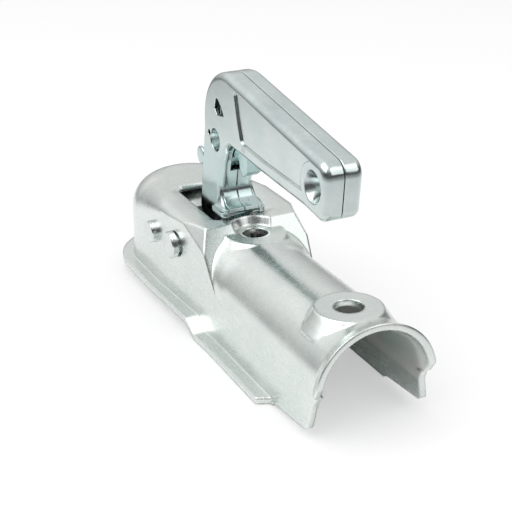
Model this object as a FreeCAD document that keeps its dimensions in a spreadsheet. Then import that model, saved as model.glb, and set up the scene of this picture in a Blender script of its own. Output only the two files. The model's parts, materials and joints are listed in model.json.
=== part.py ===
"""Trailer coupling head for a 50 mm tow ball on a round 45 mm drawbar.

Millimetres. The origin is the centre of the tow ball, which lies on the drawbar's axis.
+X runs rearward along the drawbar, +Y to the right hand seen from behind, +Z up.
"""
import FreeCAD, Part
import math
import os
import re

import Sketcher
from FreeCAD import Placement, Rotation, Vector

doc = FreeCAD.newDocument("coupling_head")
sheet = doc.addObject("Spreadsheet::Sheet", "Sizes")

SIZES = [
    ("ball_radius", 25.0, "tow ball"),
    ("ball_gap", 0.4, "room round the ball"),
    ("cup_wall", 1.8, "ball cup"),
    ("seat_gap", 0.3, "gap between pieces that rest on each other"),
    ("side_room", 0.8, "room between the cup and the head's side walls"),
    ("wall", 3.0, "sheet of the pressed body"),
    ("bar_radius", 22.5, "round drawbar"),
    ("bar_gap", 0.25, "room between drawbar and saddle"),
    ("head_spread", 1.0, "how far the head's walls lean out at the base"),
    ("saddle_spread", 3.4, "how far the saddle's walls lean out at the base"),
    ("base_depth", 20.4, "ball centre down to the base"),
    ("flange_step", 5.0, "front flange above the rear one"),
    ("step_start", 77.0, "ball centre back to the step of the flange"),
    ("step_run", 9.0, "length of the step of the flange"),
    ("flange_width", 5.7, "flange beyond the wall"),
    ("flange_end", 153.0, "ball centre back to the flange's end"),
    ("wall_start", 32.5, "ball centre back to where the walls start to draw in"),
    ("neck_end", 100.0, "ball centre back to where the walls are as wide as the tube"),
    ("dome_radius", 17.0, "rounding of the dome at the front"),
    ("edge_radius", 6.0, "bend along the head's top edges"),
    ("dome_blend", 34.0, "length over which the dome turns into the bend"),
    ("head_back", 76.0, "ball centre back to the end of the head's flat top"),
    ("neck_lean", 0.6, "run of the head's end for each unit of drop"),
    ("neck_bend", 15.0, "rounding of the neck where it leaves the head"),
    ("corner_back", 66.0, "ball centre back to the chamfer of the head's rear corner"),
    ("rear_end", 195.0, "ball centre back to the end of the saddle"),
    ("flare_run", 7.0, "length of the flare at the saddle's end"),
    ("flare_rise", 2.5, "height of the flare at the saddle's end"),
    ("wall_setback", 6.0, "side walls end ahead of the saddle's end"),
    ("kink_height", 5.0, "height of the corner above the setback"),
    ("rear_lift", 1.7, "wall's lower edge above the base behind the flange"),
    ("rear_rise", 2.4, "rise of the wall's lower edge towards the saddle's end"),
    ("slot_front", 16.6, "ball centre back to the handle slot"),
    ("slot_back", 65.0, "ball centre back to the slot's end"),
    ("slot_half_width", 13.8, "handle slot"),
    ("slot_corner", 4.0, "rounding of the slot's corners"),
    ("slot_bevel", 4.2, "width of the pressed-down band round the slot"),
    ("slot_sink", 1.8, "depth of the band round the slot"),
    ("hole_front", 81.0, "ball centre back to the front bolt hole"),
    ("hole_spacing", 90.0, "front to rear bolt hole"),
    ("front_hole_radius", 6.25, "front bolt hole"),
    ("rear_hole_radius", 6.5, "rear bolt hole"),
    ("pad_radius", 14.5, "flat pad round a bolt hole"),
    ("pad_flare", 6.0, "how far the pad's side spreads"),
    ("pad_drop", 9.0, "height of the pad's side"),
    ("pad_rise", 0.3, "pad above the saddle's crest"),
    ("washer_room", 3.0, "flat beyond the front bolt hole, cut into the head's end"),
    ("jaw_x", 26.5, "ball centre back to the jaw's pivot"),
    ("jaw_z", 13.0, "ball centre up to the jaw's pivot"),
    ("jaw_pin_radius", 3.8, "jaw rivets"),
    ("jaw_head_radius", 5.6, "heads of the jaw rivets"),
    ("jaw_cheek", 2.6, "cheeks of the jaw"),
    ("jaw_wall", 3.4, "shoe of the jaw"),
    ("jaw_hub", 3.4, "metal round the jaw's bores"),
    ("jaw_front", 8.0, "ball centre back to the shoe's front edge"),
    ("ear_thick", 3.0, "ears of the jaw"),
    ("ear_gap", 0.5, "side room between ears and handle"),
    ("pivot_x", 51.0, "ball centre back to the handle's pivot"),
    ("pivot_z", 14.8, "ball centre up to the handle's pivot"),
    ("pivot_radius", 4.5, "handle pivot rivet"),
    ("pivot_head_radius", 6.7, "heads of the handle pivot rivet"),
    ("rivet_head", 3.0, "height of the side rivets' heads"),
    ("rivet_chamfer", 0.6, "chamfer of the rivets' heads"),
    ("bush_radius", 6.5, "bush and spacers on the handle pivot"),
    ("run_gap", 0.05, "running clearance on a pin, on the radius"),
    ("drive_x", -4.0, "drive pin behind the handle's pivot"),
    ("drive_z", -19.0, "drive pin above the handle's pivot"),
    ("drive_radius", 3.0, "drive pin"),
    ("drive_gap", 0.3, "room round the drive pin in its slot"),
    ("handle_swing", 40.0, "opening angle of the handle"),
    ("jaw_swing", 13.0, "opening angle of the jaw"),
    ("handle_half", 9.0, "half the handle's thickness"),
    ("skin", 2.0, "sheet of the handle's halves"),
    ("skin_bend", 3.5, "rounding of the handle's long edges"),
    ("panel_sink", 0.9, "depth of the side panel"),
    ("grip_dimple_radius", 7.0, "mouth of the dimple in the grip"),
    ("neck_dimple_radius", 5.6, "mouth of the dimple in the neck"),
    ("grip_dimple_x", 155.6, "ball centre back to the dimple in the grip"),
    ("grip_dimple_z", 74.6, "ball centre up to the dimple in the grip"),
    ("neck_dimple_x", 57.0, "ball centre back to the dimple in the neck"),
    ("neck_dimple_z", 66.4, "ball centre up to the dimple in the neck"),
    ("peg_hole_x", 50.0, "ball centre back to the small hole in the leg"),
    ("peg_hole_z", 68.4, "ball centre up to the small hole in the leg"),
    ("peg_hole_radius", 1.5, "small hole in the leg"),
    ("nose_x", 41.6, "ball centre back to the nose ahead of the leg"),
    ("nose_z", 50.4, "ball centre up to the nose ahead of the leg"),
    ("nose_radius", 3.6, "nose ahead of the leg"),
    ("nose_half", 3.0, "half the nose's width"),
    ("rivet_radius", 2.4, "rivets of the handle"),
    ("heel_gap", 0.7, "handle's heel above the head's top"),
    ("heel_height", 3.0, "handle's heel"),
    ("heel_width", 2.6, "heel beyond the handle's side"),
    ("heel_reach", 4.5, "heel behind the slot's end"),
    ("catch_x", 89.0, "ball centre back to the catch's pin"),
    ("catch_z", 71.0, "ball centre up to the catch's pin"),
    ("catch_pin_radius", 1.6, "pin of the catch"),
    ("catch_half", 3.6, "half the catch's width"),
    ("catch_sheet", 1.4, "sheet of the catch"),
    ("catch_gap", 0.5, "side room round the catch"),
    ("catch_opening", 52.0, "ball centre up to the opening for the catch behind the leg"),
    ("wire", 1.6, "wire of the handle spring"),
    ("spring_room", 0.3, "room between a spring's coils and what they sit on"),
    ("catch_wire", 0.8, "wire of the catch spring"),
]
for row, (alias, value, note) in enumerate(SIZES, 1):
    sheet.set(f"A{row}", note)
    sheet.set(f"B{row}", str(value))
    sheet.setAlias(f"B{row}", alias)
doc.recompute()

Y_AXIS = Vector(0, 1, 0)
X_AXIS = Vector(1, 0, 0)
Z_AXIS = Vector(0, 0, 1)
ALONG_Y = Rotation(X_AXIS, -90)
REACH = 80.0     # past every wall, for tools that cut right through

SADDLE_HALF = "(bar_radius + bar_gap + wall)"
BALL_ROOM = "(ball_radius + ball_gap)"
HEAD_HALF = "(ball_radius + ball_gap + cup_wall + side_room + wall)"
HEAD_TOP = "(ball_radius + ball_gap + cup_wall + seat_gap + wall)"
CHEEK = "(ball_radius + ball_gap + cup_wall + side_room - seat_gap)"
RIGHT_NEAR = "handle_half + seat_gap"


def size(formula):
    """The value of a formula of named cells."""
    return float(sheet.evalExpression(formula))


def bound(formula):
    """The same formula as an expression of another object."""
    return re.sub(r"[a-z_]+", lambda word: "Sizes." + word.group(), formula)


def wall_at(x):
    """Formula for the outside of the body's side wall at x, behind where the walls draw in."""
    return f"({HEAD_HALF} - ({HEAD_HALF} - {SADDLE_HALF}) * ({x} - wall_start) / (neck_end - wall_start))"


RIGHT_FAR = wall_at("(pivot_x + bush_radius)") + " - wall"


def rounded_wire(corners, lift):
    """Closed wire through corners (a, b, radius); lift turns (a, b) into a point in space."""
    count = len(corners)
    ends = []
    for i, corner in enumerate(corners):
        here = Vector(corner[0], corner[1], 0)
        radius = corner[2] if len(corner) > 2 else 0.0
        before = (Vector(*corners[i - 1][:2], 0) - here).normalize()
        after = (Vector(*corners[(i + 1) % count][:2], 0) - here).normalize()
        half_angle = before.getAngle(after) / 2
        if radius <= 0 or half_angle > math.pi / 2 - 1e-4:
            ends.append((here, None, here))
            continue
        reach = radius / math.tan(half_angle)
        middle = (before + after).normalize()
        centre = here + middle * (radius / math.sin(half_angle))
        ends.append((here + before * reach, centre - middle * radius, here + after * reach))
    edges = []
    for i, (start, bulge, end) in enumerate(ends):
        if bulge is not None:
            edges.append(Part.Arc(lift(start), lift(bulge), lift(end)).toShape())
        following = ends[(i + 1) % count][0]
        if end.distanceToPoint(following) > 1e-6:
            edges.append(Part.LineSegment(lift(end), lift(following)).toShape())
    return Part.Wire(edges)


def side_prism(corners, low, high):
    """Prism on an outline in the side view (x, z), from y = low to y = high."""
    wire = rounded_wire(corners, lambda p: Vector(p.x, low, p.y))
    return Part.Face(wire).extrude(Y_AXIS * (high - low))


def plan_prism(corners, low, high):
    """Prism on an outline in the plan (x, y), from z = low to z = high."""
    wire = rounded_wire(corners, lambda p: Vector(p.x, p.y, low))
    return Part.Face(wire).extrude(Z_AXIS * (high - low))


def pin(radius, low, high, x, z):
    """Round bar across the object, from y = low to y = high."""
    return Part.makeCylinder(radius, high - low, Vector(x, low, z), Y_AXIS)

def turned(profile, x, z):
    """Solid turned about an axis across the object; profile is a list of (y, radius)."""
    points = [Vector(x, profile[0][0], z)]
    points += [Vector(x + radius, y, z) for y, radius in profile]
    points += [Vector(x, profile[-1][0], z), points[0]]
    face = Part.Face(Part.makePolygon(points))
    return face.revolve(Vector(x, 0, z), Y_AXIS, 360)


def cylinder(name, radius, low, high, x, z):
    """Round bar across the object between two formulas of y."""
    feature = doc.addObject("Part::Cylinder", name)
    feature.Placement = Placement(Vector(), ALONG_Y)
    feature.setExpression("Radius", bound(radius))
    feature.setExpression("Height", bound(f"{high} - ({low})"))
    for axis, formula in (("x", x), ("y", low), ("z", z)):
        feature.setExpression("Placement.Base." + axis, bound(formula))
    return feature


def boolean(kind, name, base, tool):
    """Part boolean of two features."""
    feature = doc.addObject(kind, name)
    feature.Base = base
    feature.Tool = tool
    return feature


def tube(name, low, high):
    """Tube on the handle's pivot between two formulas of y."""
    outer = cylinder(name + "_outer", "bush_radius", low, high, "pivot_x", "pivot_z")
    bore = cylinder(name + "_bore", "pivot_radius + run_gap", low, high, "pivot_x", "pivot_z")
    return boolean("Part::Cut", name, outer, bore)


def turned_body(name, profile, x, z):
    """Body turned about an axis across the object; profile holds (y, radius) formulas, ends on the axis."""
    body = doc.addObject("PartDesign::Body", name)
    plane = next(item for item in body.Origin.OriginFeatures if item.Role == "XY_Plane")
    sketch = body.newObject("Sketcher::SketchObject", name + "_profile")
    sketch.AttachmentSupport = (plane, [""])
    sketch.MapMode = "FlatFace"
    corners = [Vector(size(y), size(radius), 0) for y, radius in profile]
    count = len(corners)
    for i, corner in enumerate(corners):
        sketch.addGeometry(Part.LineSegment(corner, corners[(i + 1) % count]), False)
    for i, (y, radius) in enumerate(profile):
        sketch.addConstraint(Sketcher.Constraint("Coincident", i, 2, (i + 1) % count, 1))
        along = sketch.addConstraint(Sketcher.Constraint("DistanceX", i, 1, corners[i].x))
        sketch.setExpression(f"Constraints[{along}]", bound(y))
        if radius == "0":
            sketch.addConstraint(Sketcher.Constraint("PointOnObject", i, 1, -1))
            continue
        across = sketch.addConstraint(Sketcher.Constraint("DistanceY", i, 1, corners[i].y))
        sketch.setExpression(f"Constraints[{across}]", bound(radius))
    turn = body.newObject("PartDesign::Revolution", name + "_turn")
    turn.Profile = sketch
    turn.ReferenceAxis = (sketch, ["H_Axis"])
    turn.Angle = 360
    body.Placement = Placement(Vector(), Rotation(Z_AXIS, 90))
    body.setExpression("Placement.Base.x", bound(x))
    body.setExpression("Placement.Base.z", bound(z))
    return body


def both_ends(half):
    """Whole profile of a piece that is the same at both ends, from the half that starts at its far end."""
    return half + [(f"-({y})", radius) for y, radius in reversed(half)]


def shaped(name, shape):
    """Sub-part whose form comes from surfaces worked out here."""
    feature = doc.addObject("Part::Feature", name)
    feature.Shape = shape.removeSplitter()
    feature.Placement = Placement()
    return feature


def mirrored(shape):
    """The same shape on the other side of the middle plane."""
    return shape.mirror(Vector(0, 0, 0), Y_AXIS)

# Pressed body

def wall_section(x, half, top, bend, low):
    """Wire across the body at x: straight walls, a bend on each side, and a flat top."""
    slant = bend * (1 - math.sqrt(0.5))
    left = Vector(x, -half + slant, top - slant)
    right = Vector(x, half - slant, top - slant)
    edges = [
        Part.LineSegment(Vector(x, -half, low), Vector(x, -half, top - bend)),
        Part.Arc(Vector(x, -half, top - bend), left, Vector(x, bend - half, top)),
        Part.LineSegment(Vector(x, bend - half, top), Vector(x, half - bend, top)),
        Part.Arc(Vector(x, half - bend, top), right, Vector(x, half, top - bend)),
        Part.LineSegment(Vector(x, half, top - bend), Vector(x, half, low)),
        Part.LineSegment(Vector(x, half, low), Vector(x, -half, low)),
    ]
    return Part.Wire([edge.toShape() for edge in edges])


def plan_wire(z, offset, back):
    """Outline of the body at height z, moved outward by offset: a round front and walls that draw in."""
    share = max(-z, 0) / size("base_depth")
    half = size(HEAD_HALF) + size("head_spread") * share + offset
    tail = size(SADDLE_HALF) + size("saddle_spread") * share + offset
    side = [(0, half), (size("wall_start"), half), (size("neck_end"), tail), (back, tail)]
    points = [Vector(x, y, z) for x, y in side] + [Vector(x, -y, z) for x, y in reversed(side)]
    edges = [Part.LineSegment(points[i], points[i + 1]).toShape() for i in range(len(points) - 1)]
    edges.append(Part.Arc(points[-1], Vector(-half, 0, z), points[0]).toShape())
    return Part.Wire(edges)


def skirt(inset):
    """Lower half of the body as a solid: walls that lean out from the ball's height to the base."""
    low = -size("base_depth") - inset
    back = size("rear_end") + inset
    return Part.makeLoft([plan_wire(0, -inset, back), plan_wire(low, -inset, back)], True, True)


def half_space(point, normal):
    """Round block that covers what lies beyond a plane near the point."""
    return Part.makeCylinder(REACH, REACH, point, normal)


def corner_chamfers(inset):
    """What the head's rear corners lose to a slanted plane on each side."""
    edge = Vector(size("corner_back"), size(HEAD_HALF) - 2, size(HEAD_TOP) - 4.5)
    normal = Vector(0.27, 0.83, 0.48).normalize()
    block = half_space(edge - normal * inset, normal)
    return [block, mirrored(block)]


def head_form(inset):
    """Upper half of the head as a solid, inset from the body's outside by inset."""
    half = size(HEAD_HALF) - inset
    top = size(HEAD_TOP) - inset
    dome = size("dome_radius") - inset
    bend = max(size("edge_radius") - inset, size("wall") / 5)
    lean = size("neck_lean")
    back = size("head_back") + inset * (lean - math.hypot(1, lean))
    slant = dome * (1 - math.sqrt(0.5))
    rim = [Vector(-half, 0, top - dome), Vector(slant - half, 0, top - slant), Vector(dome - half, 0, top)]
    edges = [
        Part.LineSegment(Vector(0, 0, 0), Vector(-half, 0, 0)),
        Part.LineSegment(Vector(-half, 0, 0), rim[0]),
        Part.Arc(*rim),
        Part.LineSegment(rim[2], Vector(0, 0, top)),
        Part.LineSegment(Vector(0, 0, top), Vector(0, 0, 0)),
    ]
    face = Part.Face(Part.Wire([edge.toShape() for edge in edges]))
    front = face.revolve(Vector(0, 0, 0), Z_AXIS, 90).fuse(face.revolve(Vector(0, 0, 0), Z_AXIS, -90))
    blend = size("dome_blend")
    first = wall_section(0, half, top, dome, 0)
    second = wall_section(blend, half, top, bend, 0)
    foot = back + lean * top
    rest = Part.Face(second).extrude(X_AXIS * (foot - blend))
    box = Part.makeLoft([first, second], True, True).fuse(rest)
    plan = Part.Face(plan_wire(0, -inset, foot + 1)).extrude(Z_AXIS * (top + 1))
    end = side_prism([(-REACH, 0), (foot, 0), (back, top), (back, top + 1), (-REACH, top + 1)], -REACH, REACH)
    return front.fuse(box).common(plan).common(end).cut(corner_chamfers(inset))


def saddle_form(inset):
    """Upper half of the saddle as a solid: neck, half tube and flared end, inset by inset."""
    crease = 0.05
    start = size("slot_back")
    neck = size("neck_end")
    flare = size("rear_end") - size("flare_run")
    end = size("rear_end")
    radius = size(SADDLE_HALF) - inset
    rise = size("flare_rise")
    first = wall_section(start, size(wall_at("slot_back")) - inset, radius, size("neck_bend") - inset / 2, 0)
    second = wall_section(neck, radius, radius, radius - crease, 0)
    third = wall_section(flare, radius, radius, radius - crease, 0)
    fourth = wall_section(end, radius + rise, radius + rise, radius + rise - crease, 0)
    tube = Part.Face(second).extrude(X_AXIS * (flare - neck))
    end_piece = Part.makeLoft([third, fourth], True, True)
    if inset > 0:
        end_piece = end_piece.fuse(Part.Face(fourth).extrude(X_AXIS * inset))
    return Part.makeLoft([first, second], True, True).fuse([tube, end_piece])


def pad_top():
    """Height of the pads."""
    return size(SADDLE_HALF + " + pad_rise")


def pad_form(inset, x):
    """Flat round pad on the crest of the saddle, as a solid of revolution with a hollow side."""
    top = pad_top() - inset
    radius = size("pad_radius") - inset * 0.4
    low = top - size("pad_drop")
    foot = radius + size("pad_flare")
    profile = rounded_wire([(0, low), (foot, low), (radius + 2, top - 3, 5), (radius, top, 1.2), (0, top)],
                           lambda p: Vector(x + p.x, 0, p.y))
    return Part.Face(profile).revolve(Vector(x, 0, 0), Z_AXIS, 360)


def washer_recess(inset):
    """Room above the front pad for a bolt's head, cut into the head's end."""
    floor = size("front_hole_radius + washer_room") + inset
    low = pad_top() - inset
    high = size(HEAD_TOP) + 1
    place = Vector(size("hole_front"), 0, low)
    return Part.makeCone(floor, floor + (high - low) * 0.45, high - low, place, Z_AXIS)


def base_line():
    """Lower edge of the body in the side view, from front to back."""
    base = -size("base_depth")
    front = base + size("flange_step")
    start = size("step_start")
    return [(-REACH, front), (start, front, 8), (start + size("step_run"), base, 8)]


def side_outline():
    """What the side view keeps of the shell: its base line and the cut of its rear end."""
    end = size("rear_end")
    wall_end = end - size("wall_setback")
    base = -size("base_depth")
    kink = size("kink_height")
    lift_x = size("flange_end") + 4
    lift = base + size("rear_lift")
    return base_line() + [(lift_x, base), (lift_x + 1.2, lift), (wall_end - 1, lift + size("rear_rise"), 3),
                          (wall_end, -kink, 9), (end, kink, 0.8), (end, REACH), (-REACH, REACH)]


def flange():
    """Outward lip round the front and along both sides, stepped down behind the head."""
    wall = size("wall")
    width = size("flange_width")
    end = size("flange_end")
    line = base_line() + [(end + REACH, -size("base_depth"))]
    upper = [(x, z + wall, *radius) for x, z, *radius in reversed(line)]
    strip = side_prism(line + upper, -REACH, REACH)
    half = size(HEAD_HALF + " + head_spread") + width
    tail = size(SADDLE_HALF + " + saddle_spread") + width
    side = [(0, half), (size("wall_start"), half), (size("neck_end"), tail), (end, tail, 1.5),
            (end + 4, tail - width - wall)]
    outline = side + [(x, -y, *radius) for x, y, *radius in reversed(side)]
    low = -size("base_depth") - 1
    high = low + size("flange_step") + wall + 2
    plan = plan_prism(outline, low, high).fuse(Part.makeCylinder(half, high - low, Vector(0, 0, low)))
    return strip.common(plan)


def rounded_slot(spread, z):
    """Outline of the handle slot at height z, wider by spread."""
    front = size("slot_front") - spread * 0.2
    back = size("slot_back") + spread
    half = size("slot_half_width") + spread
    corner = size("slot_corner") + spread * 0.5
    corners = [(front, -half, corner), (back, -half, corner), (back, half, corner), (front, half, corner)]
    return rounded_wire(corners, lambda p: Vector(p.x, p.y, z))


def whole_form(inset, pads):
    """Everything that the body's outside encloses, or its inside where inset is the sheet's thickness."""
    head = head_form(inset).cut(washer_recess(inset))
    return head.fuse([saddle_form(inset), skirt(inset)] + [pad_form(inset, x) for x in pads])


def pressed_body():
    """The one-piece pressed shell with its dome, saddle, pads, slot, flange and holes."""
    holes = [(size("hole_front"), size("front_hole_radius")),
             (size("hole_front + hole_spacing"), size("rear_hole_radius"))]
    pads = [x for x, radius in holes]
    trimmed = whole_form(0, pads).common(side_prism(side_outline(), -REACH, REACH))
    shell = trimmed.fuse(flange()).cut(whole_form(size("wall"), pads))
    top = size(HEAD_TOP)
    cuts = [Part.Face(rounded_slot(0, 0)).extrude(Z_AXIS * REACH)]
    band = [rounded_slot(0, top - size("slot_sink")), rounded_slot(size("slot_bevel"), top + 0.01)]
    cuts.append(Part.makeLoft(band, True, True))
    cuts += [Part.makeCylinder(radius, REACH, Vector(x, 0, 0)) for x, radius in holes]
    cuts.append(pin(size("jaw_pin_radius"), -REACH, REACH, size("jaw_x"), size("jaw_z")))
    cuts.append(pin(size("pivot_radius"), -REACH, REACH, size("pivot_x"), size("pivot_z")))
    return shell.cut(cuts)


def ball_cup():
    """Pressed cup that the ball's front and top bear on, cut off level below and on a slant behind."""
    outer = doc.addObject("Part::Sphere", "cup_outside")
    outer.setExpression("Radius", bound(BALL_ROOM + " + cup_wall"))
    inner = doc.addObject("Part::Sphere", "cup_inside")
    inner.setExpression("Radius", bound(BALL_ROOM))
    shell = boolean("Part::Cut", "cup_shell", outer, inner)
    below = doc.addObject("Part::Box", "cup_below")
    below.Length = REACH * 2
    below.Width = REACH * 2
    below.Height = REACH
    below.Placement = Placement(Vector(-REACH, -REACH, 0), Rotation())
    below.setExpression("Placement.Base.z", bound(f"-0.45 * {BALL_ROOM}") + f" - {REACH}")
    level = boolean("Part::Cut", "cup_level", shell, below)
    behind = doc.addObject("Part::Box", "cup_behind")
    behind.Length = REACH
    behind.Width = REACH * 2
    behind.Height = REACH * 2
    turn = Rotation(Y_AXIS, 37)
    behind.Placement = Placement(Vector(5, 0, 0) + turn.multVec(Vector(0, -REACH, -REACH)), turn)
    return boolean("Part::Cut", "ball_cup", level, behind)


# Jaw and its drive

def swung(x, z, degrees, about_x, about_z):
    """Point (x, z) turned about another by an angle that lifts +X towards +Z."""
    angle = math.radians(degrees)
    dx = x - about_x
    dz = z - about_z
    return (about_x + dx * math.cos(angle) - dz * math.sin(angle),
            about_z + dx * math.sin(angle) + dz * math.cos(angle))


def drive_pin_at(share):
    """Drive pin at a share of the handle's swing, seen from the jaw."""
    x = size("pivot_x") + size("drive_x")
    z = size("pivot_z") + size("drive_z")
    x, z = swung(x, z, share * size("handle_swing"), size("pivot_x"), size("pivot_z"))
    return swung(x, z, -share * size("jaw_swing"), size("jaw_x"), size("jaw_z"))


def rounded_bar(start, end, radius, low, high):
    """Flat bar with round ends between two points of the side view."""
    run = math.hypot(end[0] - start[0], end[1] - start[1])
    side = ((start[1] - end[1]) / run * radius, (end[0] - start[0]) / run * radius)
    corners = [(start[0] + side[0], start[1] + side[1]), (end[0] + side[0], end[1] + side[1]),
               (end[0] - side[0], end[1] - side[1]), (start[0] - side[0], start[1] - side[1])]
    return side_prism(corners, low, high).fuse([pin(radius, low, high, *start), pin(radius, low, high, *end)])

def locking_jaw():
    """Jaw behind the ball: a curved shoe, two cheeks on the side rivets and two slotted ears."""
    ball = size(BALL_ROOM)
    pivot = (size("jaw_x"), size("jaw_z"))
    low = -ball * 0.6
    front = size("jaw_front")
    outside = size(CHEEK)
    shoe = Part.makeSphere(ball + size("jaw_wall"))
    shoe = shoe.common(Part.makeBox(REACH, outside * 2, -low - 2, Vector(front, -outside, low)))
    hub = size("jaw_pin_radius + jaw_hub")
    outline = [(pivot[0] - hub, pivot[1] + hub, hub - 0.1), (pivot[0] + hub, pivot[1] + hub, hub - 0.1),
               (pivot[0] + hub, pivot[1] - 8, 5), (pivot[0] - 4, low, 2), (front, low, 2),
               (front, low + 9, 3), (pivot[0] - hub, pivot[1] - 7, 5)]
    cheek = side_prism(outline, -outside, size("jaw_cheek") - outside)
    web = size("handle_half - skin - ear_gap")
    stops = [drive_pin_at(share) for share in (0, 0.5, 1)]
    bore = size("drive_radius + drive_gap")
    runs = [(ball + 1.5, low / 2)] + stops
    ear = [rounded_bar(runs[i], runs[i + 1], bore + 3, -web, size("ear_thick") - web) for i in range(3)]
    one_side = ear[0].fuse(ear[1:] + [cheek])
    jaw = shoe.fuse([one_side, mirrored(one_side)])
    slots = [rounded_bar(stops[i], stops[i + 1], bore, -REACH, REACH) for i in range(2)]
    bores = pin(size("jaw_pin_radius + run_gap"), -REACH, REACH, *pivot)
    return jaw.cut([Part.makeSphere(ball), bores] + slots)


def jaw_rivets():
    """Pair of stub rivets that the jaw hangs on, one in each side wall, headed inside and outside."""
    head = f"{HEAD_HALF} + rivet_head"
    inside = f"{CHEEK} - jaw_cheek - seat_gap / 3"
    profile = [(head, "0"), (head, "jaw_head_radius - rivet_chamfer"),
               (head + " - rivet_chamfer", "jaw_head_radius"), (HEAD_HALF, "jaw_head_radius"),
               (HEAD_HALF, "jaw_pin_radius"), (inside, "jaw_pin_radius"), (inside, "jaw_pin_radius + 1.5"),
               (inside + " - 1.8", "jaw_pin_radius + 1.5"), (inside + " - 1.8", "0")]
    right = turned_body("right_jaw_rivet", profile, "jaw_x", "jaw_z")
    left = doc.addObject("Part::Mirroring", "left_jaw_rivet")
    left.Source = right
    left.Normal = Y_AXIS
    pair = doc.addObject("Part::Compound", "jaw_rivets")
    pair.Links = [right, left]
    return pair


def pivot_rivet():
    """Long rivet across the head that the handle turns on."""
    seat = wall_at("(pivot_x - pivot_head_radius)")
    head = seat + " + rivet_head"
    half = [(f"-({head})", "0"), (f"-({head})", "pivot_head_radius - rivet_chamfer"),
            (f"-({head}) + rivet_chamfer", "pivot_head_radius"), (f"-{seat}", "pivot_head_radius"),
            (f"-{seat}", "pivot_radius")]
    return turned_body("pivot_rivet", both_ends(half), "pivot_x", "pivot_z")


def handle_rivet(name, place):
    """Rivet that joins the halves at a dimple, with domed heads sunk in the dimples."""
    half = [("-skin - 1.5", "0"), ("-skin - 1.5", "rivet_radius - 0.4"), ("-skin - 0.7", "rivet_radius + 1"),
            ("-skin", "rivet_radius + 1.1"), ("-skin", "rivet_radius")]
    return turned_body(name, both_ends(half), str(place[0]), str(place[1]))


def drive_pin():
    """Pin across the drive lobes, headed on both outsides."""
    half = [("-handle_half - 1.2", "0"), ("-handle_half - 1.2", "drive_radius + 1.2"),
            ("-handle_half", "drive_radius + 1.5"), ("-handle_half", "drive_radius")]
    return turned_body("drive_pin", both_ends(half), "pivot_x + drive_x", "pivot_z + drive_z")


def spring(radius, wire, half_turns, side, legs, place):
    """Torsion spring about an axis across the object: half-turn arcs with straight legs along Z.

    Side is 1 where the first leg stands behind the axis and -1 where it stands ahead of it; legs are
    the heights of the two leg ends above the axis; place is the axis (x, z) and the y of the first coil.
    """
    x, z, low = place
    pitch = wire * 1.25
    rise = -math.copysign(math.hypot(radius, pitch / 4), legs[0])
    start = Vector(x + side * radius, low, z)
    tip = start + Z_AXIS * legs[0]
    edges = [Part.LineSegment(tip, start).toShape()]
    for turn in range(half_turns):
        end = Vector(x - side * radius, start.y + pitch / 2, z)
        edges.append(Part.Arc(start, Vector(x, start.y + pitch / 4, z + rise), end).toShape())
        start = end
        side = -side
        rise = -rise
    edges.append(Part.LineSegment(start, start + Z_AXIS * legs[1]).toShape())
    circle = Part.Wire(Part.makeCircle(wire / 2, tip, Z_AXIS))
    return Part.Wire(edges).makePipeShell([circle], True, False)


def handle_spring():
    """Spring on the right spacer: one leg beside the handle's leg, one under the head's top."""
    wire = size("wire")
    room = size("spring_room")
    high = size(HEAD_TOP + " - wall") - room - wire / 2
    place = (size("pivot_x"), size("pivot_z"), size("handle_half + seat_gap") + wire / 2)
    legs = (high - place[1] - room, high - place[1])
    return spring(size("bush_radius") + wire / 2 + room, wire, 7, 1, legs, place)


# Handle

def handle_outline():
    """Side view of the handle: drive lobe, hub, heel, leg, grip and knee, front edge last."""
    px = size("pivot_x")
    pz = size("pivot_z")
    dx = px + size("drive_x")
    dz = pz + size("drive_z")
    lobe = size("drive_radius") + 3.2
    return [
        (dx - lobe, dz - lobe, lobe - 0.2), (dx + lobe + 1.5, dz - lobe, lobe - 0.2),
        (px + 9, pz - 4, 10), (px + 7, 32, 20), (px + 13.2, 57, 20),
        (px + 18, 67.5, 10), (104, 64.8), (147, 62.8), (164.3, 60.4, 4.5), (167.5, 85.8, 7),
        (43.6, 105.4, 27), (42.4, 70, 8), (33.6, 27, 4), (px - 12, pz - 1, 9),
    ]


def dimple_places():
    """Where the halves are riveted, neck and grip: centre and the radius of the dimple's mouth."""
    return [((size(name + "_dimple_x"), size(name + "_dimple_z")), size(name + "_dimple_radius"))
            for name in ("neck", "grip")]


def web_features():
    """What is cut into the outside of a handle half: side panel, slit and small hole."""
    outside = size("handle_half")
    through = size("skin") + 1
    panel = [(79.5, 96.2, 2), (158, 84, 3), (147, 69.8), (109, 71, 30), (86.5, 72.8, 3), (83.2, 82, 20)]
    place, mouth = dimple_places()[1]
    ring = pin(mouth + 3.5, -REACH, REACH, *place)
    slit = [(59, 87.6, 0.6), (61.8, 87.4, 0.8), (65.6, 84.4, 1), (68.4, 80.6, 0.5), (60.2, 79.4, 0.8),
            (57.2, 82.4, 1)]
    return [
        side_prism(panel, -outside - 1, size("panel_sink") - outside).cut(ring),
        side_prism(slit, -outside - 1, through - outside),
        pin(size("peg_hole_radius"), -outside - 1, through - outside, size("peg_hole_x"), size("peg_hole_z")),
    ]


def long_edges(solid, y):
    """Edges of a prism's end face at y."""
    return [edge for edge in solid.Edges
            if abs(edge.BoundBox.YMin - y) < 1e-4 and abs(edge.BoundBox.YMax - y) < 1e-4]


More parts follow.
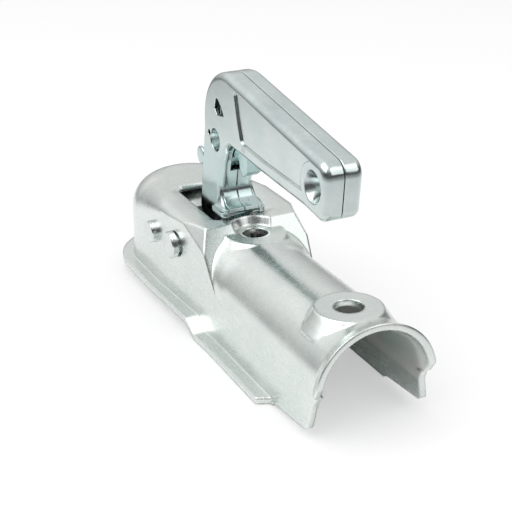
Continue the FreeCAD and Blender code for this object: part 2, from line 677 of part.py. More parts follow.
def handle_half():
    """Left half of the handle: a pressed tray with rims, dimples and openings for the catch."""
    outside = size("handle_half")
    skin = size("skin")
    px = size("pivot_x")
    heel = size(HEAD_TOP + " + heel_gap")
    outline = handle_outline()
    tray = side_prism(outline, -outside, 0)
    tray = tray.makeFillet(size("skin_bend"), long_edges(tray, -outside))
    floor = Part.Face(rounded_wire(outline, lambda p: Vector(p.x, skin - outside, p.y)))
    hollow = floor.makeOffset2D(-skin).extrude(Y_AXIS * outside)
    shell = tray.cut(hollow)
    pressed = [turned([(skin / 2 - outside, mouth + 1.6), (0, mouth - 1)], *place)
               for place, mouth in dimple_places()]
    shell = shell.fuse(pressed)
    cuts = web_features()
    for place, mouth in dimple_places():
        cuts.append(turned([(-outside - 0.01, mouth), (-skin, size("rivet_radius") + 1.8)], *place))
        cuts.append(pin(size("rivet_radius"), -outside, 1, *place))
    room = size("catch_half + catch_gap")
    opening = size("catch_opening")
    catch_x = size("catch_x")
    catch_z = size("catch_z")
    nose_top = heel + 0.1
    cuts += [
        Part.makeBox(REACH, outside, REACH, Vector(px - REACH / 2, skin - outside, nose_top - REACH)),
        Part.makeBox(catch_x - px, room + 1, catch_z - opening - 1, Vector(px + 9, -room, opening)),
        Part.makeBox(skin * 4, room + 1, skin * 1.5, Vector(px + 4, -room, nose_top - 0.01)),
        pin(size("pivot_radius + run_gap"), -outside - 1, 1, px, size("pivot_z")),
        pin(size("drive_radius"), -outside - 1, 1, px + size("drive_x"), size("pivot_z + drive_z")),
        pin(size("catch_pin_radius"), -outside - 1, 1, catch_x, catch_z),
    ]
    shell = shell.cut(cuts)
    flare = outside + size("heel_width")
    heel_back = size("slot_back + heel_reach")
    heel_top = heel + size("heel_height")
    lip = plan_prism([(px + 4, -flare, 2.4), (heel_back, -flare, 3), (heel_back, 1.2 - outside),
                      (px + 4, 1.2 - outside)], heel, heel + skin)
    spur = side_prism([(px + 6, heel), (heel_back, heel, 0.8), (heel_back - 1, heel_top, 0.8),
                       (px + 9, heel + 8, 8), (px + 7, heel + 9)], 1.2 - outside, -room)
    nose = pin(size("nose_radius"), -size("nose_half"), 0, size("nose_x"), size("nose_z")).cut(hollow)
    return shell.fuse([lip, spur, nose])


# Safety catch

def catch_outline():
    """Side view of the safety catch: hub, finger tab, lever inside the leg, and foot in the slot."""
    x = size("catch_x")
    z = size("catch_z")
    foot = size("slot_back - seat_gap")
    heel = size(HEAD_TOP + " + heel_gap - seat_gap")
    top = size(HEAD_TOP)
    return [
        (x + 4.6, z + 4.6, 4), (x + 4.6, z - 4.6, 4), (x - 8, z - 7.6, 2), (x - 8.2, 56, 1.5),
        (x - 13.5, 52.4, 2), (x - 16.2, 56.5, 2), (x - 16.4, 61, 3), (x - 24, 60, 3), (x - 30.8, 50, 5),
        (x - 32.8, 38, 2), (x - 32.8, heel), (foot, heel, 0.6), (foot, top - 3.2, 1),
        (x - 37.6, top - 3.2, 2), (x - 37.6, 38, 6), (x - 32.2, 50.8, 6), (x - 24, 64.4, 5),
        (x - 12, z + 2.4, 12), (x - 2, z + 5, 4),
    ]


def safety_catch():
    """Catch bent from one sheet: a channel open to the front and above, with the tab at its knee."""
    half = size("catch_half")
    thick = size("catch_sheet")
    outline = catch_outline()
    block = side_prism(outline, -half, half)
    face = Part.Face(rounded_wire(outline, lambda p: Vector(p.x, thick - half, p.y)))
    hollow = face.makeOffset2D(-thick).extrude(Y_AXIS * (half - thick) * 2)
    ahead = hollow.copy()
    ahead.translate(Vector(-2.2, 0, 1.6))
    bore = pin(size("catch_pin_radius + run_gap"), -half - 1, half + 1, size("catch_x"), size("catch_z"))
    return block.cut([hollow, ahead, bore])


def catch_spring():
    """Spring of the catch on its pin: one leg on the catch's floor, one under the grip's top."""
    wire = size("catch_wire")
    radius = size("catch_pin_radius") + wire / 2 + size("spring_room")
    half_turns = 4
    place = (size("catch_x"), size("catch_z"), -wire * 1.25 * half_turns / 4)
    return spring(radius, wire, half_turns, -1, (-3.0, 22.0), place)


left_half = handle_half()
sub_parts = [
    shaped("coupling_body", pressed_body()),
    ball_cup(),
    jaw_rivets(),
    pivot_rivet(),
    tube("right_spacer", RIGHT_NEAR, RIGHT_FAR),
    tube("left_spacer", f"-({RIGHT_FAR})", f"-({RIGHT_NEAR})"),
    shaped("handle_spring", handle_spring()),
    shaped("locking_jaw", locking_jaw()),
    shaped("left_handle_half", left_half),
    shaped("right_handle_half", mirrored(left_half)),
    handle_rivet("neck_rivet", dimple_places()[0][0]),
    handle_rivet("grip_rivet", dimple_places()[1][0]),
    tube("pivot_bush", "skin - handle_half", "handle_half - skin"),
    drive_pin(),
    shaped("safety_catch", safety_catch()),
    cylinder("catch_pin", "catch_pin_radius", "-handle_half", "handle_half", "catch_x", "catch_z"),
    shaped("catch_spring", catch_spring()),
]
doc.recompute()

os.makedirs("parts", exist_ok=True)
for feature in doc.Objects:
    if "Invalid" in feature.State or "Error" in feature.State:
        raise ValueError(feature.Label + " is in error")
for feature in sub_parts:
    shape = feature.Shape
    if shape.isNull() or not shape.isValid():
        raise ValueError(feature.Label + " has no valid shape")
    print(feature.Label, len(shape.Solids), round(shape.Volume, 1), shape.BoundBox)
    shape.exportStep("parts/" + feature.Label + ".step")
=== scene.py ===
import json
import math

import bmesh
import bpy
from mathutils import Matrix, Vector


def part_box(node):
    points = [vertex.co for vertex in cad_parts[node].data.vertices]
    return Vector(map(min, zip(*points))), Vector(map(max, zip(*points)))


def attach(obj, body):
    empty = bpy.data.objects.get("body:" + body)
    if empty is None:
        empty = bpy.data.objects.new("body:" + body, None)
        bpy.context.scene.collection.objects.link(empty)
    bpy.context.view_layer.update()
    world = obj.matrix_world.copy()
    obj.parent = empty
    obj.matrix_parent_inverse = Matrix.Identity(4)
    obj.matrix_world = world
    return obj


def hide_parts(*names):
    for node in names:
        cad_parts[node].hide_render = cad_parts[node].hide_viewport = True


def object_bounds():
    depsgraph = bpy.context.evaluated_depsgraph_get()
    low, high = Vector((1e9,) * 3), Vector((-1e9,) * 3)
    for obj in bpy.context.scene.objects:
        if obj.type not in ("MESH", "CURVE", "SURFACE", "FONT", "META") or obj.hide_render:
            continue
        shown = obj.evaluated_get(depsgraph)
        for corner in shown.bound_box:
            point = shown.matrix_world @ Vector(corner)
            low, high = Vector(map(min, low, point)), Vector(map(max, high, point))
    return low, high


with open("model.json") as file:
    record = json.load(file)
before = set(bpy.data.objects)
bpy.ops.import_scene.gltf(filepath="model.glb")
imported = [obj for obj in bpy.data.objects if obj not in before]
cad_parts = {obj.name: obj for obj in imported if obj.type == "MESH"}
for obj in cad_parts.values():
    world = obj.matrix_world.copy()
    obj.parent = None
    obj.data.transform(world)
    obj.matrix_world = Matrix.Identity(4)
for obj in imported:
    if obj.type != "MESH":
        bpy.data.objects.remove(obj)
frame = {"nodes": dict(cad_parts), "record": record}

CAD_BOX = [list(corner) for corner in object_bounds()]
RECORD = frame["record"]
BODY_OF = {node: body for body, nodes in RECORD["behaviour"]["bodies"].items() for node in nodes}
SLOT_OF = {row["node"]: row["material_slot"] for row in RECORD["subparts"]}
SCENE = bpy.context.scene
SCENE.view_settings.view_transform = "Standard"
WHITE = (1, 1, 1, 1)


# Camera at the photograph's viewing angle

CAMERA_AT = Vector((0.5574, -0.2201, 0.2408))
YAW = 0.433
PITCH = 0.408
ROLL = -0.019
FOCAL_PIXELS = 1200
PICTURE_PIXELS = 512
SENSOR = 36.0


def add_camera():
    """Camera turned by yaw and pitch from straight forward along -X, then by roll."""
    look = Vector((-math.cos(YAW) * math.cos(PITCH), math.sin(YAW) * math.cos(PITCH), -math.sin(PITCH)))
    right = Vector((math.sin(YAW), math.cos(YAW), 0))
    up = right.cross(look)
    rolled_right = right * math.cos(ROLL) + up * math.sin(ROLL)
    rolled_up = up * math.cos(ROLL) - right * math.sin(ROLL)
    data = bpy.data.cameras.new("camera")
    data.sensor_width = SENSOR
    data.lens = SENSOR * FOCAL_PIXELS / PICTURE_PIXELS
    camera = bpy.data.objects.new("camera", data)
    turn = Matrix((rolled_right, rolled_up, -look)).transposed().to_4x4()
    camera.matrix_world = Matrix.Translation(CAMERA_AT) @ turn
    SCENE.collection.objects.link(camera)
    SCENE.camera = camera


# Node helpers

MIX_INPUTS = (0, 6, 7)     # factor and the two colours of a Mix node set to colours
MIX_RESULT = 2


class Tree:
    """Short ways to add and link nodes in one node tree."""

    def __init__(self, tree):
        self.tree = tree
        tree.nodes.clear()

    def fill(self, socket, value):
        """Gives a socket a value or links another node's output to it."""
        if isinstance(value, bpy.types.NodeSocket):
            self.tree.links.new(value, socket)
        else:
            socket.default_value = value

    def add(self, kind, values=None, **settings):
        """A node with its settings and its input values."""
        node = self.tree.nodes.new(kind)
        for key, value in settings.items():
            setattr(node, key, value)
        for key, value in (values or {}).items():
            self.fill(node.inputs[key], value)
        return node

    def place(self):
        """Point of the surface in the part's own space."""
        return self.add("ShaderNodeTexCoord").outputs["Object"]

    def split(self, vector):
        return self.add("ShaderNodeSeparateXYZ", {"Vector": vector}).outputs

    def length(self, vector):
        return self.add("ShaderNodeVectorMath", {0: vector}, operation="LENGTH").outputs["Value"]

    def maths(self, operation, a, b, clamp=False):
        return self.add("ShaderNodeMath", {0: a, 1: b}, operation=operation, use_clamp=clamp).outputs[0]

    def plus(self, a, b):
        return self.maths("ADD", a, b)

    def minus(self, a, b):
        return self.maths("SUBTRACT", a, b)

    def times(self, a, b):
        return self.maths("MULTIPLY", a, b)

    def larger(self, a, b):
        return self.maths("MAXIMUM", a, b)

    def span(self, value, low, high, out_low=0.0, out_high=1.0):
        """Value taken from one range to another, held at its ends."""
        values = {"Value": value, "From Min": low, "From Max": high, "To Min": out_low, "To Max": out_high}
        return self.add("ShaderNodeMapRange", values).outputs["Result"]

    def blend(self, factor, first, second):
        """Colour between two colours."""
        node = self.add("ShaderNodeMix", data_type="RGBA", blend_type="MIX")
        for index, value in zip(MIX_INPUTS, (factor, first, second)):
            self.fill(node.inputs[index], value)
        return node.outputs[MIX_RESULT]

    def noise(self, where, scale, detail, roughness=0.5):
        values = {"Vector": where, "Scale": scale, "Detail": detail, "Roughness": roughness}
        return self.add("ShaderNodeTexNoise", values).outputs["Fac"]

    def layered(self, share, first, second):
        """Shader between two shaders."""
        return self.add("ShaderNodeMixShader", {0: share, 1: first, 2: second}).outputs[0]


def new_group(name, inputs, outputs):
    """Shader node group with named number inputs, given with their values, and outputs with their kinds."""
    group = bpy.data.node_groups.new(name, "ShaderNodeTree")
    tree = Tree(group)
    for label, value in inputs.items():
        socket = group.interface.new_socket(name=label, in_out="INPUT", socket_type="NodeSocketFloat")
        socket.default_value = value
    for label, kind in outputs.items():
        group.interface.new_socket(name=label, in_out="OUTPUT", socket_type=kind)
    return group, tree, tree.add("NodeGroupInput").outputs, tree.add("NodeGroupOutput").inputs


# Plated zinc

SATIN = {"Cloud Scale": 55.0, "Tint": 0.35, "Grain": 0.20, "Streaks": 0.12, "Scratches": 0.5, "Waves": 1.7,
         "Patches": 0.4}
BRIGHT = {"Cloud Scale": 60.0, "Tint": 0.30, "Grain": 0.16, "Streaks": 0.16, "Scratches": 0.6, "Waves": 2.6,
          "Patches": 1.0}
TURNED = {"Cloud Scale": 90.0, "Tint": 0.15, "Grain": 0.12, "Streaks": 0.10, "Scratches": 0.5, "Waves": 1.0,
          "Patches": 1.0}

# Scale for each metre, detail and roughness of each noise; the cloud's scale is the material's own
CLOUD_NOISE = (5.0, 0.62)
SPANGLE_NOISE = (420.0, 3.0, 0.6)
TINT_NOISE = (38.0, 2.0)
GRAIN_NOISE = (2600.0, 2.0)
WAVE_NOISE = (130.0, 2.0, 0.45)
STREAK_NOISE = (900.0, 3.0, 0.6)
PATCH_NOISE = (90.0, 2.0)
SCRATCH_DETAIL = 1.0

STREAK_PULL = (0.10, 1.0, 1.0)         # streaks run along the part
SCRATCH_PULL = (0.05, 1.0, 1.0)
SCRATCH_SETS = (((0.3, 0.5, 0.9), 700.0, 0.70), ((1.1, -0.4, 0.3), 560.0, 0.71))     # turn, scale, threshold
SCRATCH_FADE = 0.05                    # softness of a scratch's edge
SCRATCH_ROUGH = 0.10                   # how much rougher a scratch is
SCRATCH_DEPTH = 0.25                   # how deep it is against the pattern's relief
PATCH_RANGE = (0.5, 0.62)              # scratches come in patches
SPANGLE_SHARE = 0.32                   # share of the fine spangle in the cloud's mottling
MOTTLE_RANGE = (0.36, 0.64)            # values of each noise between which the surface changes
MOTTLE_ROUGH = (-0.08, 0.08)
STREAK_RANGE = (0.3, 0.7)
STREAK_ROUGH = (-0.03, 0.03)
TINT_RANGE = (0.35, 0.65)


def zinc_scratches(tree, where):
    """Mask of fine scratches in two directions, in patches."""
    masks = []
    for turn, scale, low in SCRATCH_SETS:
        bent = tree.add("ShaderNodeMapping", {"Vector": where, "Rotation": turn, "Scale": SCRATCH_PULL})
        masks.append(tree.span(tree.noise(bent.outputs[0], scale, SCRATCH_DETAIL), low, low + SCRATCH_FADE))
    return tree.times(tree.larger(*masks), tree.span(tree.noise(where, *PATCH_NOISE), *PATCH_RANGE))


def zinc_group():
    """Electroplated zinc on pressed sheet: clouded tint, grain, streaks, scratches and slight waves."""
    outputs = dict.fromkeys(("Cloud", "Tint", "Roughness", "Scratch", "Height"), "NodeSocketFloat")
    group, tree, given, made = new_group("plated_zinc", SATIN, outputs)
    where = tree.place()
    cloud = tree.noise(where, given["Cloud Scale"], *CLOUD_NOISE)
    spangle = tree.noise(where, *SPANGLE_NOISE)
    mottled = tree.plus(tree.times(cloud, 1 - SPANGLE_SHARE), tree.times(spangle, SPANGLE_SHARE))
    pulled = tree.add("ShaderNodeMapping", {"Vector": where, "Scale": STREAK_PULL}).outputs[0]
    streaks = tree.noise(pulled, *STREAK_NOISE)
    scratch = tree.times(zinc_scratches(tree, where), given["Scratches"])
    rough = tree.times(tree.span(mottled, *MOTTLE_RANGE, *MOTTLE_ROUGH), given["Patches"])
    rough = tree.plus(rough, tree.span(streaks, *STREAK_RANGE, *STREAK_ROUGH))
    rough = tree.plus(rough, tree.times(scratch, SCRATCH_ROUGH))
    height = tree.times(tree.noise(where, *GRAIN_NOISE), given["Grain"])
    height = tree.plus(height, tree.times(streaks, given["Streaks"]))
    height = tree.plus(height, tree.times(tree.noise(where, *WAVE_NOISE), given["Waves"]))
    height = tree.minus(height, tree.times(scratch, SCRATCH_DEPTH))
    tint = tree.span(tree.noise(where, *TINT_NOISE), *TINT_RANGE)
    tree.fill(made["Cloud"], tree.span(mottled, *MOTTLE_RANGE))
    tree.fill(made["Tint"], tree.times(tint, given["Tint"]))
    tree.fill(made["Roughness"], rough)
    tree.fill(made["Scratch"], scratch)
    tree.fill(made["Height"], height)
    return group


# Rubbed edges

EDGE_RADIUS = 0.0006            # where a finish gives no other
EDGE_SAMPLES = 12
RUBBED_RANGE = (0.99, 0.86)     # cosine of the lean, from plated to rubbed bare


def edge_group():
    """Rounded normal near sharp edges, and how far it leans from the face: where the plating is rubbed."""
    outputs = {"Normal": "NodeSocketVector", "Rubbed": "NodeSocketFloat"}
    group, tree, given, made = new_group("rubbed_edges", {"Radius": EDGE_RADIUS}, outputs)
    rounded = tree.add("ShaderNodeBevel", {"Radius": given["Radius"]}, samples=EDGE_SAMPLES).outputs[0]
    face = tree.add("ShaderNodeNewGeometry").outputs["Normal"]
    along = tree.add("ShaderNodeVectorMath", {0: rounded, 1: face}, operation="DOT_PRODUCT").outputs["Value"]
    tree.fill(made["Normal"], rounded)
    tree.fill(made["Rubbed"], tree.span(along, *RUBBED_RANGE))
    return group


# Films on the leg and in the tube, with painted light in the tube

LEG_FILM = {"X": (None, 0.074), "Z": (0.020, 0.058)}     # where the film on the handle is thickest
LEG_FILM_FADE = 0.012          # distance over which it fades outside these limits
LEG_FILM_SHARE = 0.75          # its share of the full tint
TUBE_RADIUS = 0.0238           # inside this radius and
TUBE_START = 0.066             # behind this place lies the tube's inside
TUBE_FADE = 0.0010
TUBE_FILM_AND_PAINTED_LIGHT = ((0.80, 0.92, 0.87), (0.92, 0.88, 0.87))     # its film, from greenish to reddish, painted lighter than the plating outside to lift the shade in the hollow
TUBE_NOISE = (26.0, 2.0)
TUBE_NOISE_RANGE = (0.38, 0.62)
TUBE_ROUGH = 0.12              # how much rougher the inside is


def leg_film(tree):
    """Mask of the leg's film, between limits along two axes."""
    split = tree.split(tree.place())
    mask = None
    for axis, limits in LEG_FILM.items():
        for edge, way in zip(limits, (1, -1)):
            if edge is None:
                continue
            side = tree.span(split[axis], edge - way * LEG_FILM_FADE, edge)
            mask = side if mask is None else tree.times(mask, side)
    return mask


def tube_film_and_painted_light(tree):
    """Mask of the inside of the drawbar's tube, and its colour there: a greenish to reddish film, partly
    painted light that lifts the shade in the hollow.
    """
    where = tree.place()
    split = tree.split(where)
    flat = tree.add("ShaderNodeCombineXYZ", {"Y": split["Y"], "Z": split["Z"]}).outputs[0]
    inside = tree.span(tree.length(flat), TUBE_RADIUS, TUBE_RADIUS + TUBE_FADE, 1.0, 0.0)
    mask = tree.times(inside, tree.span(split["X"], TUBE_START - TUBE_FADE, TUBE_START))
    shimmer = tree.span(tree.noise(where, *TUBE_NOISE), *TUBE_NOISE_RANGE)
    return mask, tree.blend(shimmer, rgba(TUBE_FILM_AND_PAINTED_LIGHT[0]), rgba(TUBE_FILM_AND_PAINTED_LIGHT[1]))


# Finishes

BARE_EDGE = (0.90, 0.92, 0.91)
SCRATCH_BARE = 0.5              # how bare a scratch is
BUMP_DEPTH = 0.00003            # relief of the plating's pattern
BUMP_STRENGTH = 0.7

FINISHES = {
    "body_zinc": {"light": (0.77, 0.80, 0.78), "dark": (0.68, 0.72, 0.70), "tint": (0.62, 0.70, 0.67),
                  "rough": 0.27, "edge": 0.0018, "worn": 0.3, "pattern": SATIN},
    "handle_zinc": {"light": (0.66, 0.71, 0.70), "dark": (0.52, 0.59, 0.58), "tint": (0.46, 0.58, 0.58),
                    "rough": 0.19, "edge": 0.0006, "worn": 0.5, "pattern": BRIGHT},
    "catch_zinc": {"light": (0.56, 0.70, 0.69), "dark": (0.32, 0.48, 0.48), "tint": (0.30, 0.50, 0.51),
                   "rough": 0.20, "edge": 0.0004, "worn": 0.7, "pattern": BRIGHT},
    "rivet_zinc": {"light": (0.76, 0.79, 0.78), "dark": (0.60, 0.64, 0.63), "tint": (0.58, 0.66, 0.66),
                   "rough": 0.20, "edge": 0.0004, "worn": 0.5, "pattern": TURNED},
    "inner_steel": {"light": (0.62, 0.65, 0.63), "dark": (0.46, 0.49, 0.47), "tint": (0.50, 0.54, 0.50),
                    "rough": 0.30, "edge": 0.0004, "worn": 0.4, "pattern": SATIN},
    "spring_steel": {"light": (0.44, 0.45, 0.46), "dark": (0.30, 0.31, 0.32), "tint": (0.38, 0.36, 0.32),
                     "rough": 0.26, "edge": 0.0002, "worn": 0.2, "pattern": TURNED},
}


def rgba(colour):
    return colour + (1,)


def zinc_material(slot, groups, finish):
    """Plated steel: colour clouded between two greys with a tinted film, rubbed bright at its edges."""
    material = bpy.data.materials.new(slot)
    material.use_nodes = True
    tree = Tree(material.node_tree)
    surface = tree.add("ShaderNodeGroup", node_tree=groups["zinc"])
    for key, value in finish["pattern"].items():
        surface.inputs[key].default_value = value
    edges = tree.add("ShaderNodeGroup", {"Radius": finish["edge"]}, node_tree=groups["edges"])
    colour = tree.blend(surface.outputs["Cloud"], rgba(finish["dark"]), rgba(finish["light"]))
    film = surface.outputs["Tint"]
    if slot == "handle_zinc":
        film = tree.larger(film, tree.times(leg_film(tree), LEG_FILM_SHARE))
    colour = tree.blend(film, colour, rgba(finish["tint"]))
    rough = tree.maths("ADD", surface.outputs["Roughness"], finish["rough"], clamp=True)
    if slot == "body_zinc":
        # inside the tube: its film, and painted light that makes the shaded hollow lighter than the plating
        # outside
        inside, film_and_painted_light = tube_film_and_painted_light(tree)
        colour = tree.blend(inside, colour, film_and_painted_light)
        rough = tree.plus(rough, tree.times(inside, TUBE_ROUGH))
    worn = tree.times(edges.outputs["Rubbed"], finish["worn"])
    worn = tree.larger(worn, tree.times(surface.outputs["Scratch"], SCRATCH_BARE))
    colour = tree.blend(worn, colour, rgba(BARE_EDGE))
    bump = tree.add("ShaderNodeBump", {"Height": surface.outputs["Height"], "Distance": BUMP_DEPTH,
                                       "Strength": BUMP_STRENGTH, "Normal": edges.outputs["Normal"]})
    shader = tree.add("ShaderNodeBsdfPrincipled", {"Base Color": colour, "Metallic": 1.0, "Roughness": rough,
                                                   "Normal": bump.outputs[0]})
    tree.add("ShaderNodeOutputMaterial", {"Surface": shader.outputs[0]})
    return material


def all_finishes():
    """One finish for each material slot of the record."""
    groups = {"zinc": zinc_group(), "edges": edge_group()}
    return {slot: zinc_material(slot, groups, finish) for slot, finish in FINISHES.items()}


# Making a piece

WELD = 1e-6
SMOOTH_ANGLE = math.radians(28)
ROUNDING_SEGMENTS = 4


def new_piece(name, shape, material, body):
    """Object made from a bmesh, shaded smooth between its sharp edges, that moves with a body."""
    for face in shape.faces:
        face.smooth = True
        face.material_index = 0
    mesh = bpy.data.meshes.new(name)
    shape.to_mesh(mesh)
    shape.free()
    mesh.set_sharp_from_angle(angle=SMOOTH_ANGLE)
    mesh.materials.append(material)
    piece = bpy.data.objects.new(name, mesh)
    SCENE.collection.objects.link(piece)
    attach(piece, body)
    return piece


def round_edges(shape, edges, offset):
    bmesh.ops.bevel(shape, geom=edges, offset=offset, offset_type="OFFSET", segments=ROUNDING_SEGMENTS,
                    profile=0.5, affect="EDGES", material=-1, clamp_overlap=True)


# Handle halves

SEAM_CHAMFER = 0.0004     # rounding of the handle halves' rims where they meet
SEAM_GAP = 0.00018        # each rim's distance from the middle plane
SEAM_REACH = 1e-5         # corners this near to the middle plane are on a rim
SIDE_LEAN = 0.3           # a wall's normal leans less than this to the side

DIMPLE_MOUTH = (0.0050, 0.0075)     # between these distances from its rivet lies a dimple's mouth
DIMPLE_LIP = 0.0013                 # rounding of the mouth
WEB_FACE = 0.0089                   # the halves' outer faces lie beyond this distance from the middle


def open_seam(shape):
    """Draws a handle half's rim back from the middle plane and chamfers it, so that the seam shows."""
    side = -1 if min(corner.co.y for corner in shape.verts) < -SEAM_CHAMFER else 1
    bmesh.ops.bisect_plane(shape, geom=shape.verts[:] + shape.edges[:] + shape.faces[:], dist=SEAM_REACH,
                           plane_co=(0, side * SEAM_CHAMFER, 0), plane_no=(0, 1, 0))
    moves = []
    for corner in shape.verts:
        if abs(corner.co.y) < SEAM_REACH:
            walls = [face.normal for face in corner.link_faces if abs(face.normal.y) < SIDE_LEAN]
            inward = -sum(walls, Vector()).normalized() * SEAM_CHAMFER if walls else Vector()
            moves.append((corner, inward + Vector((0, side * SEAM_GAP, 0))))
    for corner, move in moves:
        corner.co += move


def at_mouth(corner, centre):
    """Whether a corner on an outer face lies in the mouth of the dimple round a rivet's centre."""
    away = math.hypot(corner.co.x - centre.x, corner.co.z - centre.z)
    return abs(corner.co.y) > WEB_FACE and DIMPLE_MOUTH[0] < away < DIMPLE_MOUTH[1]


def round_dimples(shape):
    """Rounds the mouths of a handle half's pressed dimples."""
    for rivet in ("neck_rivet", "grip_rivet"):
        low, high = (Vector(corner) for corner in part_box(rivet))
        centre = (low + high) / 2
        mouth = [edge for edge in shape.edges
                 if all(at_mouth(corner, centre) for corner in edge.verts)
                 and edge.is_manifold and edge.calc_face_angle() > SMOOTH_ANGLE]
        round_edges(shape, mouth, DIMPLE_LIP)


def smooth_copy(node, material):
    """Copy of a CAD node with its points merged and its round faces shaded smooth."""
    mesh = frame["nodes"][node].data.copy()
    if "custom_normal" in mesh.attributes:
        mesh.attributes.remove(mesh.attributes["custom_normal"])
    shape = bmesh.new()
    shape.from_mesh(mesh)
    bpy.data.meshes.remove(mesh)
    bmesh.ops.remove_doubles(shape, verts=shape.verts, dist=WELD)
    bmesh.ops.dissolve_degenerate(shape, edges=shape.edges, dist=WELD)
    if node in ("left_handle_half", "right_handle_half"):
        open_seam(shape)
        round_dimples(shape)
    piece = new_piece(node + "_skin", shape, material, BODY_OF[node])
    weighted = piece.modifiers.new("flat_faces_flat", "WEIGHTED_NORMAL")
    weighted.keep_sharp = True
    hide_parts(node)


# Flared heel of the handle

HEEL_WALL = 0.0606        # where the leg's rear wall meets the flare
HEEL_REACH = 0.0088       # flare behind the wall
HEEL_TOP = 0.0438         # where the flare starts
HEEL_LIP = (0.0333, 0.0349)     # lower and upper edge of the lip
HEEL_CORNER = 0.0074      # middle of the leg's rounded corner, from the middle plane
HEEL_ROUND = 0.0014       # radius of the leg's corner
SIDE_SHARE = 0.30         # flare at the side against the flare behind
ARC_STEPS = 10


def heel_profile(shape):
    """Closed section of the flare: wall, concave quarter turn and lip."""
    corners = [(HEEL_WALL - HEEL_ROUND, HEEL_LIP[0]), (HEEL_WALL - HEEL_ROUND, HEEL_TOP)]
    for step in range(ARC_STEPS + 1):
        turn = math.pi / 2 * step / ARC_STEPS
        corners.append((HEEL_WALL + HEEL_REACH * (1 - math.cos(turn)),
                        HEEL_TOP - (HEEL_TOP - HEEL_LIP[1]) * math.sin(turn)))
    corners.append((HEEL_WALL + HEEL_REACH, HEEL_LIP[0]))
    return shape.faces.new([shape.verts.new((x, SEAM_GAP, z)) for x, z in corners])


def add_heel(side, material):
    """Flare of one handle half, drawn along the leg's rear wall and swept round its corner."""
    shape = bmesh.new()
    pushed = bmesh.ops.extrude_face_region(shape, geom=[heel_profile(shape)])["geom"]
    moved = [item for item in pushed if isinstance(item, bmesh.types.BMVert)]
    bmesh.ops.translate(shape, verts=moved, vec=(0, HEEL_CORNER - SEAM_GAP, 0))
    end = [item for item in pushed if isinstance(item, bmesh.types.BMFace)]
    bmesh.ops.spin(shape, geom=end, cent=(HEEL_WALL - HEEL_ROUND, HEEL_CORNER, 0), axis=(0, 0, 1),
                   angle=math.pi / 2, steps=ARC_STEPS, use_merge=False)
    for corner in shape.verts:
        out = corner.co.y - HEEL_CORNER - HEEL_ROUND
        if out > 0:
            corner.co.y = HEEL_CORNER + HEEL_ROUND + out * SIDE_SHARE
        corner.co.y *= side
    bmesh.ops.remove_doubles(shape, verts=shape.verts, dist=WELD)
    bmesh.ops.recalc_face_normals(shape, faces=shape.faces)
    new_piece("left_heel" if side < 0 else "right_heel", shape, material, "handle")


# Lobe ahead of the leg

LOBE_CENTRE = (0.0372, 0.0530)
LOBE_RADIUS = 0.0045
LOBE_SHEET = (-0.0088, -0.0070)     # the lobe's two faces
LOBE_SEGMENTS = 48
LOBE_EDGE = 0.4                     # rounding of its rims against its thickness


def add_lobe(material):
    """Small rounded lobe of the left half, ahead of the leg."""
    shape = bmesh.new()
    thick = LOBE_SHEET[1] - LOBE_SHEET[0]
    bmesh.ops.create_cone(shape, cap_ends=True, segments=LOBE_SEGMENTS, radius1=LOBE_RADIUS,
                          radius2=LOBE_RADIUS, depth=thick)
    rims = [edge for edge in shape.edges if edge.calc_face_angle() > SMOOTH_ANGLE]
    round_edges(shape, rims, thick * LOBE_EDGE)
    bmesh.ops.rotate(shape, verts=shape.verts, cent=(0, 0, 0), matrix=Matrix.Rotation(math.pi / 2, 3, "X"))
    bmesh.ops.translate(shape, verts=shape.verts,
                        vec=(LOBE_CENTRE[0], sum(LOBE_SHEET) / 2, LOBE_CENTRE[1]))
    new_piece("leg_lobe", shape, material, "handle")


# Floor

FLOOR_SIZE = 4.0
FLOOR_DROP = 0.0002           # the floor lies this far under the object
FLOOR_COLOUR = (0.97, 0.97, 0.97, 1)
FLOOR_ROUGH = 0.9
FLOOR_WHITE = 0.45            # share of plain white in what the camera sees of the floor
FLOOR_FADE = (0.20, 0.55)     # distance over which the floor that metal mirrors gets darker
FLOOR_DIM = 0.65              # by this share


def floor_material():
    """White for the camera with the object's shadow; metal mirrors a floor that gets darker further out."""
    material = bpy.data.materials.new("floor")
    material.use_nodes = True
    tree = Tree(material.node_tree)
    shader = tree.add("ShaderNodeBsdfPrincipled", {"Base Color": FLOOR_COLOUR, "Roughness": FLOOR_ROUGH,
                                                   "Specular IOR Level": 0.0})
    white = tree.add("ShaderNodeEmission", {"Color": WHITE, "Strength": 1.0})
    black = tree.add("ShaderNodeEmission", {"Strength": 0.0})
    path = tree.add("ShaderNodeLightPath").outputs
    seen = tree.times(path["Is Camera Ray"], FLOOR_WHITE)
    dim = tree.times(path["Is Glossy Ray"], tree.span(tree.length(tree.place()), *FLOOR_FADE, 0.0, FLOOR_DIM))
    lit = tree.layered(seen, shader.outputs[0], white.outputs[0])
    tree.add("ShaderNodeOutputMaterial", {"Surface": tree.layered(dim, lit, black.outputs[0])})
    return material


def add_floor():
    """Flat floor under the object."""
    shape = bmesh.new()
    bmesh.ops.create_grid(shape, x_segments=1, y_segments=1, size=FLOOR_SIZE)
    bmesh.ops.translate(shape, verts=shape.verts, vec=(0, 0, CAD_BOX[0][2] - FLOOR_DROP))
    mesh = bpy.data.meshes.new("floor")
    shape.to_mesh(mesh)
    shape.free()
    mesh.materials.append(floor_material())
    floor = bpy.data.objects.new("floor", mesh)
    SCENE.collection.objects.link(floor)


# Light tent and lamps

ROOM_LEVEL = 0.72             # light of the tent on the floor and in hollows
HORIZON_LEVEL = (0.50, 0.10)  # what metal mirrors at the horizon, ahead of the object and elsewhere
FRONT_TURN = (-0.8, -0.2)     # forward direction over which that changes
ROOF_RISE = (0.00, 0.45)      # height of the direction over which the tent turns from dark to white
REAR_TURN = (-0.2, 0.5)       # towards the rear the dark stands higher,
REAR_LIFT = 0.48              # by this much
CARD_TURN = (-0.2, 0.6)       # sideways direction over which the tent dims,
CARD_LEVEL = (1.0, 0.85)      # between these levels

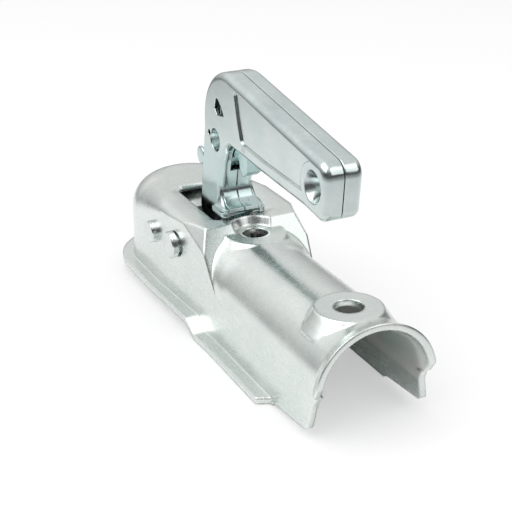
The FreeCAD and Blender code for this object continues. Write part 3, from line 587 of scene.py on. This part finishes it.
LAMP_TARGET = Vector((0.08, 0, 0.03))
LAMPS = {
    "key": {"place": Vector((0.1, -0.8, 1.3)), "size": 1.6, "power": 12.0},
    "fill": {"place": Vector((1.0, 0.7, 0.9)), "size": 1.0, "power": 4.0},
}


def add_world():
    """Light tent round the object: white to the camera; metal mirrors a bright roof over a dark horizon."""
    world = bpy.data.worlds.new("studio")
    SCENE.world = world
    world.use_nodes = True
    tree = Tree(world.node_tree)
    path = tree.add("ShaderNodeLightPath").outputs
    direction = tree.split(tree.add("ShaderNodeTexCoord").outputs["Generated"])
    behind = tree.times(tree.span(direction["X"], *REAR_TURN), REAR_LIFT)
    horizon = tree.span(direction["X"], *FRONT_TURN, *HORIZON_LEVEL)
    roof = tree.span(tree.minus(direction["Z"], behind), *ROOF_RISE, horizon, 1.0)
    mirrored = tree.times(roof, tree.span(direction["Y"], *CARD_TURN, *CARD_LEVEL))
    glossy = tree.larger(path["Is Glossy Ray"], path["Is Transmission Ray"])
    level = tree.plus(tree.times(glossy, tree.minus(mirrored, ROOM_LEVEL)), ROOM_LEVEL)
    white = tree.times(path["Is Camera Ray"], tree.minus(1.0, level))
    back = tree.add("ShaderNodeBackground", {"Color": WHITE, "Strength": tree.plus(level, white)})
    tree.add("ShaderNodeOutputWorld", {"Surface": back.outputs[0]})


def add_lamp(name, place, size, power):
    """Square soft lamp aimed at the object."""
    data = bpy.data.lights.new(name, "AREA")
    data.shape = "SQUARE"
    data.size = size
    data.energy = power
    lamp = bpy.data.objects.new(name, data)
    lamp.location = place
    lamp.rotation_euler = (LAMP_TARGET - place).to_track_quat("-Z", "Y").to_euler()
    SCENE.collection.objects.link(lamp)


# The whole scene

add_camera()
add_floor()
add_world()
for lamp_name, lamp_values in LAMPS.items():
    add_lamp(lamp_name, **lamp_values)
FINISH = all_finishes()
for node_name in BODY_OF:
    smooth_copy(node_name, FINISH[SLOT_OF[node_name]])
for half in (-1, 1):
    add_heel(half, FINISH["handle_zinc"])
add_lobe(FINISH["handle_zinc"])
